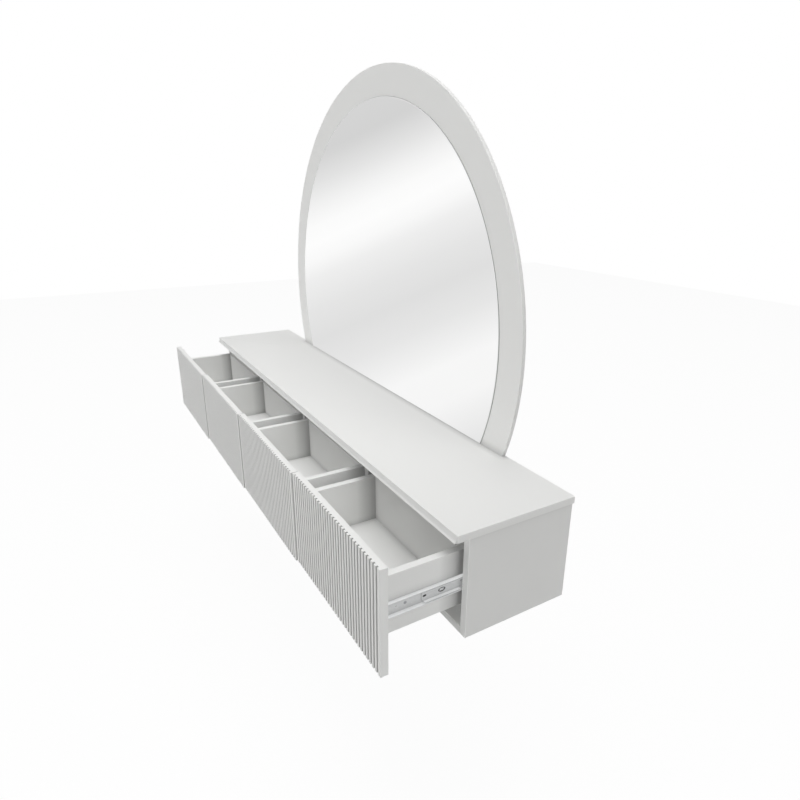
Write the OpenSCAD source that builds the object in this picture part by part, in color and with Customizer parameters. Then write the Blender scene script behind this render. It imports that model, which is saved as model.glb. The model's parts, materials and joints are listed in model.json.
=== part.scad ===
// Wall-mounted dressing table: a shallow four-drawer cabinet with a round mirror standing on it.
// Frame: X along the wall, zero at mid-length. Y = 0 is the wall, and the drawers open towards -Y.
// Z is up, and its zero is the centre of the wall-bolt pattern, at half the height of the back panel.

/* [Top board] */
// Length of the top board along the wall
top_length = 1600; // [1400:10:1800]
// Depth of the top board, from the wall to its front edge
top_depth = 280; // [270:5:340]
// Thickness of the top board
top_thickness = 15; // [13:1:25]
// Radius of the top board's upright corners
top_corner_r = 2; // [0.5:0.5:6]
// How far the lip along the foot of the front edge stands forward
lip_depth = 5; // [3:0.5:8]
// Height of the lip where it meets the front edge
lip_height = 5; // [3:0.5:8]
// Height of the lip's flat nose
lip_nose = 0.8; // [0.5:0.1:2]

/* [Carcass] */
// Overhang of the top board past each side panel
side_overhang = 5; // [0:1:15]
// Set-back of the carcass behind the top board's front edge
front_setback = 30; // [20:1:40]
// Height of the side panels
side_height = 220; // [200:5:300]
// Thickness of the side panels
side_thickness = 16; // [14:1:22]
// Thickness of the bottom board
bottom_thickness = 16; // [14:1:22]
// Thickness of the back panel
back_thickness = 16; // [14:1:22]
// Thickness of the partitions between the drawers
partition_thickness = 18; // [18:1:24]

/* [Drawer fronts] */
// Thickness of a drawer front
front_thickness = 16; // [15:1:22]
// Gap between neighbouring drawer fronts
front_gap = 2; // [1:0.5:5]
// Gap between a drawer front and the top board above it
front_top_gap = 2.5; // [1:0.5:6]
// Distance that a drawer front reaches below the carcass
front_bottom_lap = 4.5; // [0:0.5:12]
// Gap between a closed drawer front and the carcass
front_rest_gap = 1; // [0.5:0.5:3]
// Number of ribs on one drawer front
rib_count = 34; // [16:1:44]
// Width of the flutes between the ribs
flute_width = 4.6; // [2:0.2:6]
// Depth of the flutes
flute_depth = 4; // [2:0.5:5]

/* [Drawer boxes] */
// Gap between a drawer box and the carcass, on each side, which holds the runner
runner_gap = 13; // [12.5:0.5:15]
// Thickness of the sides and back of a drawer box
box_wall = 15; // [13:1:18]
// Height of a drawer box
box_height = 121; // [90:1:125]
// Length of a drawer box behind its front
box_length = 182; // [176:1:220]
// Distance from the top board down to the top of a drawer box
box_top_drop = 43; // [38:1:60]
// Thickness of a drawer floor
floor_thickness = 5; // [3:0.5:8]
// Height of a drawer floor's underside above the bottom edge of the box
floor_rise = 7; // [5:1:15]
// Depth of the floor groove in the walls of a drawer box
floor_groove_depth = 5; // [3:0.5:7]
// Depth of the floor groove in a drawer front
front_groove_depth = 4; // [2:0.5:6]

/* [Rest pose] */
// Opening of the leftmost drawer at rest
opening_left = 173; // [20:1:180]
// Opening that each drawer has less than its left neighbour
opening_step = 3.5; // [0:0.5:6]

/* [Runners] */
// Length of a runner
runner_length = 175; // [150:1:176]
// Distance from the top of a drawer box down to the centre line of its runners
runner_drop = 67.5; // [45:0.5:72]
// Height of the drawer rail, which wraps round the others
drawer_rail_height = 30; // [28:0.5:36]
// Sheet thickness of the rails
rail_gauge = 1.2; // [0.8:0.1:1.5]
// Radius of the bends in the rails
bend_r = 1.6; // [1.5:0.1:2]
// Radius of the balls
ball_r = 1.2; // [1:0.05:1.4]
// Distance between neighbouring balls
ball_pitch = 20; // [10:1:22]
// Sheet thickness of the ball cages
cage_gauge = 0.4; // [0.3:0.1:0.5]
// Length of a ball cage
cage_length = 60; // [54:1:80]

/* [Fasteners] */
// Radius of the carcass and drawer dowels
dowel_r = 4; // [3:0.5:5]
// Depth of a dowel in the board whose face it enters
dowel_face_depth = 10; // [6:0.5:11]
// Depth of a dowel in the board whose edge it enters
dowel_edge_depth = 20; // [15:1:30]
// Depth of a dowel in the back of a drawer front
dowel_front_depth = 9; // [6:0.5:9.5]
// Distance of the carcass dowels from the front and back edges they stand near
dowel_inset = 50; // [25:1:60]
// Radius of a rail screw's shank
screw_r = 1.75; // [1.5:0.05:2]
// Radius of a rail screw's countersunk head
screw_head_r = 3.2; // [3:0.1:4]
// Depth of a rail screw in the wood
screw_bite = 8; // [6:0.5:8.5]

/* [Mirror] */
// Radius of the mirror's round backing board
mirror_r = 628; // [500:2:700]
// Radius of the mirror glass
glass_r = 554; // [400:2:600]
// Height of the mirror's centre above the top board
mirror_rise = 222; // [100:2:300]
// Thickness of the backing board
mirror_board_thickness = 10; // [9.5:0.5:18]
// Thickness of the glass
glass_thickness = 4; // [3:0.5:6]
// Depth of the rebate that the glass lies in
rebate_depth = 2; // [1:0.5:2.5]
// Gap between the glass and the top board
glass_foot_gap = 1; // [0.5:0.5:4]

/* [Wall fixings] */
// Distance between the left and right wall bolts
wall_bolt_span_x = 1200; // [1000:10:1300]
// Distance between the upper and lower wall bolts
wall_bolt_span_z = 120; // [80:5:150]
// Radius of the wall-bolt holes
wall_bolt_r = 4.5; // [3:0.5:6]
// Distance between the two hanger plates of the mirror
hanger_span = 500; // [300:10:700]
// Height of the hanger plates' entry holes above the top board
hanger_rise = 560; // [400:10:600]

/* [Hidden] */
$fn = 64;
round_fn = 240;
drawer_count = 4;

// Colours
paint = [0.93, 0.93, 0.92];
box_paint = [0.90, 0.90, 0.89];
zinc = [0.80, 0.81, 0.82];
dark_zinc = [0.62, 0.64, 0.66];
beech = [0.84, 0.72, 0.54];
silver = [0.86, 0.88, 0.89];

// Small sizes and clearances
overrun = 1;
dowel_fit = 0.05;
dowel_end_gap = 0.5;
floor_fit = 0.2;
glass_fit = 0.8;
ball_fit = 0.05;
rail_side_gap = 0.3;
screw_fit = 0.05;
screw_tip = 2;
screw_end_gap = 0.3;
cross_width = 0.7;
cross_depth = 0.9;
cross_length = 3.2;
drawer_dowel_top_inset = 28;
drawer_dowel_bottom_inset = 29;
back_dowel_span = 110;

// Rail details, measured back from the rail's front end
drawer_screw_first = 48;
drawer_screw_last_inset = 25;
spare_hole_back = 29;
spare_hole_r = 1.6;
cabinet_screw_first = 30;
cabinet_screw_last_inset = 25;
nose_r = 8;
oval_back = 6;
oval_length = 8.2;
oval_height = 5.2;
slot_back = 43;
slot_length = 12.5;
slot_height = 7;
slot_corner_r = 2;
tongue_length = 8.5;
tongue_height = 3.6;
rail_mouth_gap = 4.3;
cage_margin = 1;

// Mirror fixings
mirror_dowel_r = 2.5;
mirror_dowel_span = 300;
mirror_dowel_down = 10;
mirror_dowel_up = 20;
hanger_width = 60;
hanger_height = 34;
hanger_gauge = 2;
hanger_fit = 0.1;
keyhole_r = 5.5;
keyhole_slot_r = 2.5;
keyhole_rise = 10;
keyhole_drop = 7;
pocket_depth = 4;
pocket_margin = 2.5;
hanger_screw_r = 1.5;
hanger_screw_head_r = 2.9;
hanger_screw_span = 44;
hanger_screw_bite = 5;

// Places of the boards
back_height = side_height - bottom_thickness;
under_top_z = back_height / 2;
top_z = under_top_z + top_thickness;
floor_z = -back_height / 2;
carcass_bottom_z = under_top_z - side_height;
carcass_front_y = front_setback - top_depth;
carcass_width = top_length - 2 * side_overhang;
inner_width = carcass_width - 2 * side_thickness;
side_x = (inner_width + side_thickness) / 2;
bay_width = (inner_width - (drawer_count - 1) * partition_thickness) / drawer_count;
bay_pitch = bay_width + partition_thickness;
first_bay_x = (bay_width - inner_width) / 2;
dowel_ys = [carcass_front_y + dowel_inset, -back_thickness - dowel_inset];
back_dowel_zs = [-back_dowel_span / 2, back_dowel_span / 2];

// Places of the drawers, closed
front_back_y = carcass_front_y - front_rest_gap;
front_face_y = front_back_y - front_thickness;
front_width = (carcass_width - (drawer_count - 1) * front_gap) / drawer_count;
front_pitch = front_width + front_gap;
first_front_x = (front_width - carcass_width) / 2;
front_bottom_z = carcass_bottom_z - front_bottom_lap;
front_height = under_top_z - front_top_gap - front_bottom_z;
rib_pitch = front_width / rib_count;
box_width = bay_width - 2 * runner_gap;
box_top_z = under_top_z - box_top_drop;
box_bottom_z = box_top_z - box_height;
box_back_y = front_back_y + box_length;
box_inner_width = box_width - 2 * box_wall;
box_side_x = (box_width - box_wall) / 2;
floor_under_z = box_bottom_z + floor_rise;
groove_height = floor_thickness + floor_fit;
floor_width = box_inner_width + 2 * (floor_groove_depth - floor_fit);
floor_front_y = front_back_y - front_groove_depth + floor_fit;
floor_back_y = box_back_y - box_wall + floor_groove_depth - floor_fit;
drawer_dowel_zs = [box_bottom_z + drawer_dowel_bottom_inset, box_top_z - drawer_dowel_top_inset];

// Runner sections, measured from the drawer box outwards and from the centre line up
runner_z = box_top_z - runner_drop;
drawer_rail_half = drawer_rail_height / 2;
outer_ball_z = drawer_rail_half - rail_gauge - ball_fit - ball_r;
middle_rail_half = outer_ball_z - ball_r - ball_fit;
inner_ball_z = middle_rail_half - rail_gauge - ball_fit - ball_r;
cabinet_rail_half = inner_ball_z - ball_r - ball_fit;
outer_cage_x = rail_gauge + rail_side_gap;
middle_web_x = outer_cage_x + cage_gauge + rail_side_gap;
inner_cage_x = middle_web_x + rail_gauge + rail_side_gap;
cabinet_tip_x = inner_cage_x + cage_gauge + rail_side_gap;
drawer_tip_x = runner_gap - rail_mouth_gap;
middle_tip_x = drawer_tip_x - rail_side_gap;
outer_ball_x = (middle_web_x + drawer_tip_x) / 2;
inner_ball_x = (cabinet_tip_x + middle_tip_x) / 2;
cage_front_y = (runner_length - cage_length) / 2;
ball_ys = [for (i = [-1:1]) runner_length / 2 + i * ball_pitch];
drawer_screw_ys = [drawer_screw_first, runner_length - drawer_screw_last_inset];
cabinet_screw_ys = [cabinet_screw_first, runner_length - cabinet_screw_last_inset];

// Place of the mirror
mirror_z = top_z + mirror_rise;
glass_back_y = rebate_depth - mirror_board_thickness;
mirror_dowel_xs = [for (i = [-1.5:1.5]) i * mirror_dowel_span];

FIXED_NODES = [
    "top_board", "side_left", "side_right", "bottom_board", "partition_left", "partition_mid",
    "partition_right", "back_panel", "cabinet_rails", "cabinet_screws", "carcass_dowels",
    "mirror_board", "mirror_glass", "mirror_dowels", "hanger_plates", "hanger_screws"
];
DRAWER_NODES = [
    "front", "box_left", "box_right", "box_back", "box_bottom", "drawer_dowels",
    "drawer_rails", "drawer_screws", "middle_rails", "outer_cages", "inner_cages"
];

function bay_x(k) = first_bay_x + (k - 1) * bay_pitch;
function front_x(k) = first_front_x + (k - 1) * front_pitch;
function partition_x(i) = first_bay_x + (i - 0.5) * bay_pitch;
function opening(k) = opening_left - (k - 1) * opening_step;

// Mirrors in X where side is -1
module flip_x(side) {
    mirror([side < 0 ? 1 : 0, 0, 0]) children();
}

// A rod along X or Y or Z that starts at a point, lengthened at both ends by grow
module rod_x(start, r, h, grow = 0) {
    translate([start[0] - grow, start[1], start[2]]) rotate([0, 90, 0]) cylinder(r = r, h = h + 2 * grow);
}
module rod_y(start, r, h, grow = 0) {
    translate([start[0], start[1] - grow, start[2]]) rotate([-90, 0, 0]) cylinder(r = r, h = h + 2 * grow);
}
module rod_z(start, r, h, grow = 0) {
    translate([start[0], start[1], start[2] - grow]) cylinder(r = r, h = h + 2 * grow);
}

// A rounded rectangle about its centre
module rounded_rect(width, height, r) {
    square([width - 2 * r, height], center = true);
    square([width, height - 2 * r], center = true);
    for (x = [-1, 1], y = [-1, 1]) {
        translate([x * (width / 2 - r), y * (height / 2 - r)]) circle(r);
    }
}

// Carcass dowels, or their holes when the radius and the ends grow
module upright_dowels(x, r = dowel_r, grow = 0) {
    for (y = dowel_ys) {
        rod_z([x, y, under_top_z - dowel_edge_depth], r, dowel_edge_depth + dowel_face_depth, grow);
    }
}
module foot_dowels(x, r = dowel_r, grow = 0) {
    for (y = dowel_ys) {
        rod_z([x, y, floor_z - dowel_face_depth], r, dowel_edge_depth + dowel_face_depth, grow);
    }
}
module side_dowels(r = dowel_r, grow = 0) {
    bottom_mid_z = carcass_bottom_z + bottom_thickness / 2;
    start_x = inner_width / 2 - dowel_edge_depth;
    for (y = dowel_ys) {
        rod_x([start_x, y, bottom_mid_z], r, dowel_edge_depth + dowel_face_depth, grow);
    }
    for (z = back_dowel_zs) {
        rod_x([start_x, -back_thickness / 2, z], r, dowel_edge_depth + dowel_face_depth, grow);
    }
}
module mirror_pegs(r = mirror_dowel_r, grow = 0) {
    for (x = mirror_dowel_xs) {
        rod_z(
            [x, glass_back_y / 2, top_z - mirror_dowel_down], r,
            mirror_dowel_down + mirror_dowel_up, grow
        );
    }
}

// Puts a runner's section on one side of a drawer: side -1 is its left runner and 1 its right one.
// There x runs from the box outwards, y back from the rail's front end, z from the centre line.
module at_runner(k, side, shift = 0) {
    translate([bay_x(k) + side * box_width / 2, carcass_front_y - shift, runner_z])
        flip_x(side) children();
}

// A rail of C section, with its web on the drawer's side and its mouth open outwards
module c_rail(web_x, tip_x, half, gauge, length, corner_r) {
    inner_r = corner_r - gauge;
    translate([0, length, 0]) rotate([90, 0, 0]) linear_extrude(length) difference() {
        c_outline(web_x, tip_x, half, corner_r);
        c_outline(web_x + gauge, tip_x + overrun, half - gauge, inner_r);
    }
}
module c_outline(web_x, tip_x, half, r) {
    translate([web_x + r, -half]) square([tip_x - web_x - r, 2 * half]);
    translate([web_x, r - half]) square([r + overrun, 2 * (half - r)]);
    for (z = [-1, 1]) {
        translate([web_x + r, z * (half - r)]) circle(r);
    }
}

// A flat rod through a web along X, whose section is an obround along Y
module obround_x(start_x, mid_y, length, height, depth) {
    reach = (length - height) / 2;
    translate([start_x, mid_y, 0]) rotate([90, 0, 90]) linear_extrude(depth) {
        square([2 * reach, height], center = true);
        for (y = [-reach, reach]) {
            translate([y, 0]) circle(height / 2);
        }
    }
}

// A countersunk screw along -X with its flat head at x = 0, or its seat when it grows
module rail_screw(bite, grow = 0) {
    rotate([0, -90, 0]) {
        cylinder(r1 = screw_head_r + grow, r2 = screw_r + grow, h = rail_gauge);
        cylinder(r = screw_r + grow, h = rail_gauge + bite + grow);
    }
}
module crossed_screw(bite) {
    difference() {
        union() {
            rail_screw(bite);
            translate([-rail_gauge - bite, 0, 0]) rotate([0, -90, 0])
                cylinder(r1 = screw_r, r2 = 0, h = screw_tip);
        }
        for (turn = [0, 90]) {
            rotate([turn, 0, 0]) translate([-cross_depth, -cross_length / 2, -cross_width / 2])
                cube([cross_depth + overrun, cross_length, cross_width]);
        }
    }
}

// Boards of the carcass
module front_lip() {
    translate([top_corner_r - top_length / 2, -top_depth, under_top_z]) rotate([90, 0, 90])
        linear_extrude(top_length - 2 * top_corner_r)
            polygon([[overrun, 0], [-lip_depth, 0], [-lip_depth, lip_nose], [0, lip_height], [overrun, lip_height]]);
}
module top_board() {
    color(paint) difference() {
        union() {
            translate([0, -top_depth / 2, under_top_z]) linear_extrude(top_thickness)
                rounded_rect(top_length, top_depth, top_corner_r);
            front_lip();
        }
        for (x = [-side_x, side_x]) {
            upright_dowels(x, dowel_r + dowel_fit, dowel_end_gap);
        }
        for (i = [1:drawer_count - 1]) {
            upright_dowels(partition_x(i), dowel_r + dowel_fit, dowel_end_gap);
        }
        mirror_pegs(mirror_dowel_r + dowel_fit, dowel_end_gap);
    }
}
module side_panel(side) {
    color(paint) flip_x(side) difference() {
        translate([side_x - side_thickness / 2, carcass_front_y, carcass_bottom_z])
            cube([side_thickness, -carcass_front_y, side_height]);
        upright_dowels(side_x, dowel_r + dowel_fit, dowel_end_gap);
        side_dowels(dowel_r + dowel_fit, dowel_end_gap);
        cabinet_screw_holes(drawer_count, 1);
    }
}
module bottom_board() {
    color(paint) difference() {
        translate([-inner_width / 2, carcass_front_y, carcass_bottom_z])
            cube([inner_width, -carcass_front_y, bottom_thickness]);
        for (i = [1:drawer_count - 1]) {
            foot_dowels(partition_x(i), dowel_r + dowel_fit, dowel_end_gap);
        }
        for (side = [-1, 1]) {
            flip_x(side) side_dowels(dowel_r + dowel_fit, dowel_end_gap);
        }
    }
}
module partition(i) {
    color(paint) difference() {
        translate([partition_x(i) - partition_thickness / 2, carcass_front_y, floor_z])
            cube([partition_thickness, -carcass_front_y - back_thickness, back_height]);
        upright_dowels(partition_x(i), dowel_r + dowel_fit, dowel_end_gap);
        foot_dowels(partition_x(i), dowel_r + dowel_fit, dowel_end_gap);
        cabinet_screw_holes(i, 1);
        cabinet_screw_holes(i + 1, -1);
    }
}
module back_panel() {
    color(paint) difference() {
        translate([-inner_width / 2, -back_thickness, floor_z])
            cube([inner_width, back_thickness, back_height]);
        for (side = [-1, 1]) {
            flip_x(side) side_dowels(dowel_r + dowel_fit, dowel_end_gap);
        }
        for (x = [-wall_bolt_span_x, wall_bolt_span_x] / 2, z = [-wall_bolt_span_z, wall_bolt_span_z] / 2) {
            rod_y([x, -back_thickness, z], wall_bolt_r, back_thickness, overrun);
        }
    }
}
module carcass_dowels() {
    color(beech) {
        for (x = [-side_x, side_x]) {
            upright_dowels(x);
        }
        for (i = [1:drawer_count - 1]) {
            upright_dowels(partition_x(i));
            foot_dowels(partition_x(i));
        }
        for (side = [-1, 1]) {
            flip_x(side) side_dowels();
        }
    }
}

// Runners
module cabinet_rail() {
    difference() {
        translate([runner_gap, 0, 0]) flip_x(-1)
            c_rail(0, runner_gap - cabinet_tip_x, cabinet_rail_half, rail_gauge, runner_length, bend_r);
        for (y = cabinet_screw_ys) {
            translate([runner_gap - rail_gauge, y, 0]) flip_x(-1) rail_screw(screw_bite, screw_fit);
        }
    }
}
module cabinet_screw_holes(k, side) {
    at_runner(k, side) for (y = cabinet_screw_ys) {
        translate([runner_gap - rail_gauge, y, 0]) flip_x(-1)
            rail_screw(screw_bite + screw_end_gap, screw_fit);
    }
}
module drawer_rail() {
    difference() {
        c_rail(0, drawer_tip_x, drawer_rail_half, rail_gauge, runner_length, bend_r);
        for (y = drawer_screw_ys) {
            translate([rail_gauge, y, 0]) rail_screw(screw_bite, screw_fit);
        }
        rod_x([0, spare_hole_back, 0], spare_hole_r, rail_gauge, overrun);
    }
}
module middle_rail() {
    difference() {
        intersection() {
            c_rail(middle_web_x, middle_tip_x, middle_rail_half, rail_gauge, runner_length, bend_r);
            translate([0, runner_length / 2, 0]) rotate([90, 0, 90]) linear_extrude(runner_gap)
                rounded_rect(runner_length, 2 * middle_rail_half, nose_r);
        }
        obround_x(middle_web_x - overrun, oval_back, oval_length, oval_height, rail_gauge + 2 * overrun);
        translate([middle_web_x - overrun, slot_back, 0]) rotate([90, 0, 90])
            linear_extrude(rail_gauge + 2 * overrun) difference() {
                rounded_rect(slot_length, slot_height, slot_corner_r);
                translate([-slot_length / 2, -tongue_height / 2]) square([tongue_length, tongue_height]);
            }
    }
}
module ball_cage(web_x, ball_x, ball_z) {
    half = ball_z + cage_gauge / 2;
    tip_x = ball_x + ball_r + cage_margin;
    difference() {
        translate([web_x, cage_front_y, -half]) cube([tip_x - web_x, cage_length, 2 * half]);
        translate([web_x + cage_gauge, cage_front_y - overrun, cage_gauge - half])
            cube([tip_x - web_x, cage_length + 2 * overrun, 2 * (half - cage_gauge)]);
        for (y = ball_ys) {
            rod_z([ball_x, y, -half], ball_r + ball_fit, 2 * half, overrun);
        }
    }
    for (y = ball_ys, z = [-ball_z, ball_z]) {
        translate([ball_x, y, z]) sphere(ball_r);
    }
}
module cabinet_rails() {
    color(zinc) for (k = [1:drawer_count], side = [-1, 1]) {
        at_runner(k, side) cabinet_rail();
    }
}
module cabinet_screws() {
    color(dark_zinc) for (k = [1:drawer_count], side = [-1, 1], y = cabinet_screw_ys) {
        at_runner(k, side) translate([runner_gap - rail_gauge, y, 0]) flip_x(-1)
            crossed_screw(screw_bite - screw_tip);
    }
}

// Mirror
module mirror_disc(r, back_y, thickness, foot_z) {
    difference() {
        translate([0, back_y - thickness, mirror_z]) rotate([-90, 0, 0])
            cylinder(r = r, h = thickness, $fn = round_fn);
        translate([-r - overrun, back_y - thickness - overrun, mirror_z - r - overrun])
            cube([2 * (r + overrun), thickness + 2 * overrun, foot_z - mirror_z + r + overrun]);
    }
}
module at_hangers() {
    for (x = [-hanger_span / 2, hanger_span / 2]) {
        translate([x, 0, top_z + hanger_rise]) children();
    }
}
module keyhole(margin, depth) {
    rotate([90, 0, 0]) linear_extrude(depth) {
        circle(keyhole_r + margin);
        translate([-keyhole_slot_r - margin, 0]) square([2 * (keyhole_slot_r + margin), keyhole_rise]);
        translate([0, keyhole_rise]) circle(keyhole_slot_r + margin);
    }
}
module hanger_blank(margin) {
    translate([-hanger_width / 2 - margin, -hanger_gauge, -keyhole_r - keyhole_drop - margin])
        cube([hanger_width + 2 * margin, hanger_gauge + margin, hanger_height + 2 * margin]);
}
module hanger_screw(grow = 0) {
    for (x = [-hanger_screw_span / 2, hanger_screw_span / 2]) {
        translate([x, 0, 0]) rotate([90, 0, 0]) {
            cylinder(r1 = hanger_screw_head_r + grow, r2 = hanger_screw_r + grow, h = hanger_gauge);
            cylinder(r = hanger_screw_r + grow, h = hanger_gauge + hanger_screw_bite + grow);
        }
    }
}
module mirror_board() {
    color(paint) difference() {
        mirror_disc(mirror_r, 0, mirror_board_thickness, top_z);
        mirror_disc(glass_r + glass_fit, glass_back_y, rebate_depth + overrun, top_z - overrun);
        mirror_pegs(mirror_dowel_r + dowel_fit, dowel_end_gap);
        at_hangers() {
            hanger_blank(hanger_fit);
            hanger_screw(screw_fit);
            translate([0, -hanger_gauge, 0]) keyhole(pocket_margin, pocket_depth);
        }
    }
}
module mirror_glass() {
    color(silver) mirror_disc(glass_r, glass_back_y, glass_thickness, top_z + glass_foot_gap);
}
module mirror_dowels() {
    color(beech) mirror_pegs();
}
module hanger_plates() {
    color(zinc) at_hangers() difference() {
        hanger_blank(0);
        translate([0, overrun, 0]) keyhole(0, hanger_gauge + 2 * overrun);
        hanger_screw(screw_fit);
    }
}
module hanger_screws() {
    color(dark_zinc) at_hangers() hanger_screw();
}

// Drawers, each drawn at its opening at rest
module at_rest(k) {
    translate([bay_x(k), -opening(k), 0]) children();
}
module front_dowels(r = dowel_r, grow = 0) {
    for (x = [-box_side_x, box_side_x], z = drawer_dowel_zs) {
        rod_y([x, front_back_y - dowel_front_depth, z], r, dowel_front_depth + dowel_edge_depth, grow);
    }
}
module back_dowels(r = dowel_r, grow = 0) {
    start_x = box_inner_width / 2 - dowel_edge_depth;
    for (side = [-1, 1], z = drawer_dowel_zs) {
        flip_x(side) rod_x(
            [start_x, box_back_y - box_wall / 2, z], r, dowel_edge_depth + dowel_face_depth, grow
        );
    }
}
module floor_block(grow_side, grow_top, grow_ends) {
    translate([-floor_width / 2 - grow_side, floor_front_y - grow_ends, floor_under_z])
        cube([
            floor_width + 2 * grow_side, floor_back_y - floor_front_y + 2 * grow_ends,
            floor_thickness + grow_top
        ]);
}
module front(k) {
    left_x = front_x(k) - bay_x(k) - front_width / 2;
    color(paint) at_rest(k) difference() {
        translate([left_x, front_face_y, front_bottom_z]) cube([front_width, front_thickness, front_height]);
        for (i = [1:rib_count - 1]) {
            flute_x = left_x + i * rib_pitch - flute_width / 2;
            translate([flute_x, front_face_y - overrun, front_bottom_z - overrun])
                cube([flute_width, flute_depth + overrun, front_height + 2 * overrun]);
        }
        floor_block(floor_fit, floor_fit, floor_fit);
        front_dowels(dowel_r + dowel_fit, dowel_end_gap);
    }
}
module box_side(k, side) {
    color(box_paint) at_rest(k) flip_x(side) difference() {
        translate([box_inner_width / 2, front_back_y, box_bottom_z]) cube([box_wall, box_length, box_height]);
        translate([0, front_back_y - overrun, floor_under_z])
            cube([box_inner_width / 2 + floor_groove_depth, box_length + 2 * overrun, groove_height]);
        front_dowels(dowel_r + dowel_fit, dowel_end_gap);
        back_dowels(dowel_r + dowel_fit, dowel_end_gap);
        for (y = drawer_screw_ys) {
            translate([box_width / 2 + rail_gauge, carcass_front_y + y, runner_z])
                rail_screw(screw_bite + screw_end_gap, screw_fit);
        }
    }
}
module box_back(k) {
    color(box_paint) at_rest(k) difference() {
        translate([-box_inner_width / 2, box_back_y - box_wall, box_bottom_z])
            cube([box_inner_width, box_wall, box_height]);
        floor_block(floor_fit, floor_fit, floor_fit);
        back_dowels(dowel_r + dowel_fit, dowel_end_gap);
    }
}
module box_bottom(k) {
    color(box_paint) at_rest(k) floor_block(0, 0, 0);
}
module drawer_dowels(k) {
    color(beech) at_rest(k) {
        front_dowels();
        back_dowels();
    }
}
module drawer_rails(k) {
    color(zinc) for (side = [-1, 1]) {
        at_runner(k, side, opening(k)) drawer_rail();
    }
}
module drawer_screws(k) {
    color(dark_zinc) for (side = [-1, 1], y = drawer_screw_ys) {
        at_runner(k, side, opening(k)) translate([rail_gauge, y, 0]) crossed_screw(screw_bite - screw_tip);
    }
}

// The middle rail runs at half the drawer's speed, and each cage halfway between its two rails
module middle_rails(k) {
    color(zinc) for (side = [-1, 1]) {
        at_runner(k, side, opening(k) / 2) middle_rail();
    }
}
module outer_cages(k) {
    color(dark_zinc) for (side = [-1, 1]) {
        at_runner(k, side, opening(k) * 3 / 4) ball_cage(outer_cage_x, outer_ball_x, outer_ball_z);
    }
}
module inner_cages(k) {
    color(dark_zinc) for (side = [-1, 1]) {
        at_runner(k, side, opening(k) / 4) ball_cage(inner_cage_x, inner_ball_x, inner_ball_z);
    }
}

top_board();
side_panel(-1);  // side_left
side_panel(1);  // side_right
bottom_board();
partition(1);  // partition_left
partition(2);  // partition_mid
partition(3);  // partition_right
back_panel();
cabinet_rails();
cabinet_screws();
carcass_dowels();
mirror_board();
mirror_glass();
mirror_dowels();
hanger_plates();
hanger_screws();
for (k = [1:drawer_count]) {
    front(k);
    box_side(k, -1);
    box_side(k, 1);
    box_back(k);
    box_bottom(k);
    drawer_dowels(k);
    drawer_rails(k);
    drawer_screws(k);
    middle_rails(k);
    outer_cages(k);
    inner_cages(k);
}
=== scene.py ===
"""Looks of a wall-mounted dressing table: four fluted drawers on ball-bearing runners and a round mirror.

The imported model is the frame. The boards, the drawer fronts and boxes, the mirror's backing board and
its glass are modelled here with eased edges, each in the place of its CAD node. Rails, cages with their
balls, drawer floors, screws and dowels keep their form and get their finishes. All sizes are in metres.
"""

import json
import logging
import math
from collections.abc import Callable, Iterator, Mapping, Sequence
from contextlib import contextmanager
from dataclasses import dataclass
from enum import Enum
from typing import Any

import bmesh
import bpy
from mathutils import Matrix, Vector

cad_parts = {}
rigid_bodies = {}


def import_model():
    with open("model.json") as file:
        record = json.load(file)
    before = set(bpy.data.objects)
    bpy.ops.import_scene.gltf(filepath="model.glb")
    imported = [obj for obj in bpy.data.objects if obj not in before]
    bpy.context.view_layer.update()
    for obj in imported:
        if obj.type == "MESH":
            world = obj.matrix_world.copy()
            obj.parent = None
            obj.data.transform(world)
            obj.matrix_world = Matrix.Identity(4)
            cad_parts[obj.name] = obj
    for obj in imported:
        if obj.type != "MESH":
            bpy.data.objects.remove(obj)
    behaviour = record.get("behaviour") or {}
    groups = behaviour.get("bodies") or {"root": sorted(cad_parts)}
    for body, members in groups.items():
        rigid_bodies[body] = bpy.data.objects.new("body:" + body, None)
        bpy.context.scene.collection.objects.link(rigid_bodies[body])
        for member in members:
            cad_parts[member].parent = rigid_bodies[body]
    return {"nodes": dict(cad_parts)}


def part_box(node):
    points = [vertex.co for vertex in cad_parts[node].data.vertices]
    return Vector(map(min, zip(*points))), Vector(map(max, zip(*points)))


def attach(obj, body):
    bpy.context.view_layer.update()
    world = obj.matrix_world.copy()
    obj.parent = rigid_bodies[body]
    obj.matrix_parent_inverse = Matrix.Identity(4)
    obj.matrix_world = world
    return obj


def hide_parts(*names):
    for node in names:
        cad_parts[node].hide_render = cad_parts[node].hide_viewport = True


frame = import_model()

log = logging.getLogger("dressing_table")

Triple = tuple[float, float, float]
Colour = tuple[float, float, float]
Tones = tuple[Colour, Colour]
PointTest = Callable[[Vector], bool]
EdgeTest = Callable[[Vector, Vector], bool]

MM = 0.001
TOUCH = 0.01 * MM
FACING = 0.9
DRAWERS = (1, 2, 3, 4)
WHITE: Colour = (1.0, 1.0, 1.0)
CAGE_TONES: Tones = ((0.72, 0.73, 0.74), (0.55, 0.56, 0.57))
ZINC_TONES: Tones = ((0.90, 0.905, 0.905), (0.76, 0.775, 0.78))


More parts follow.
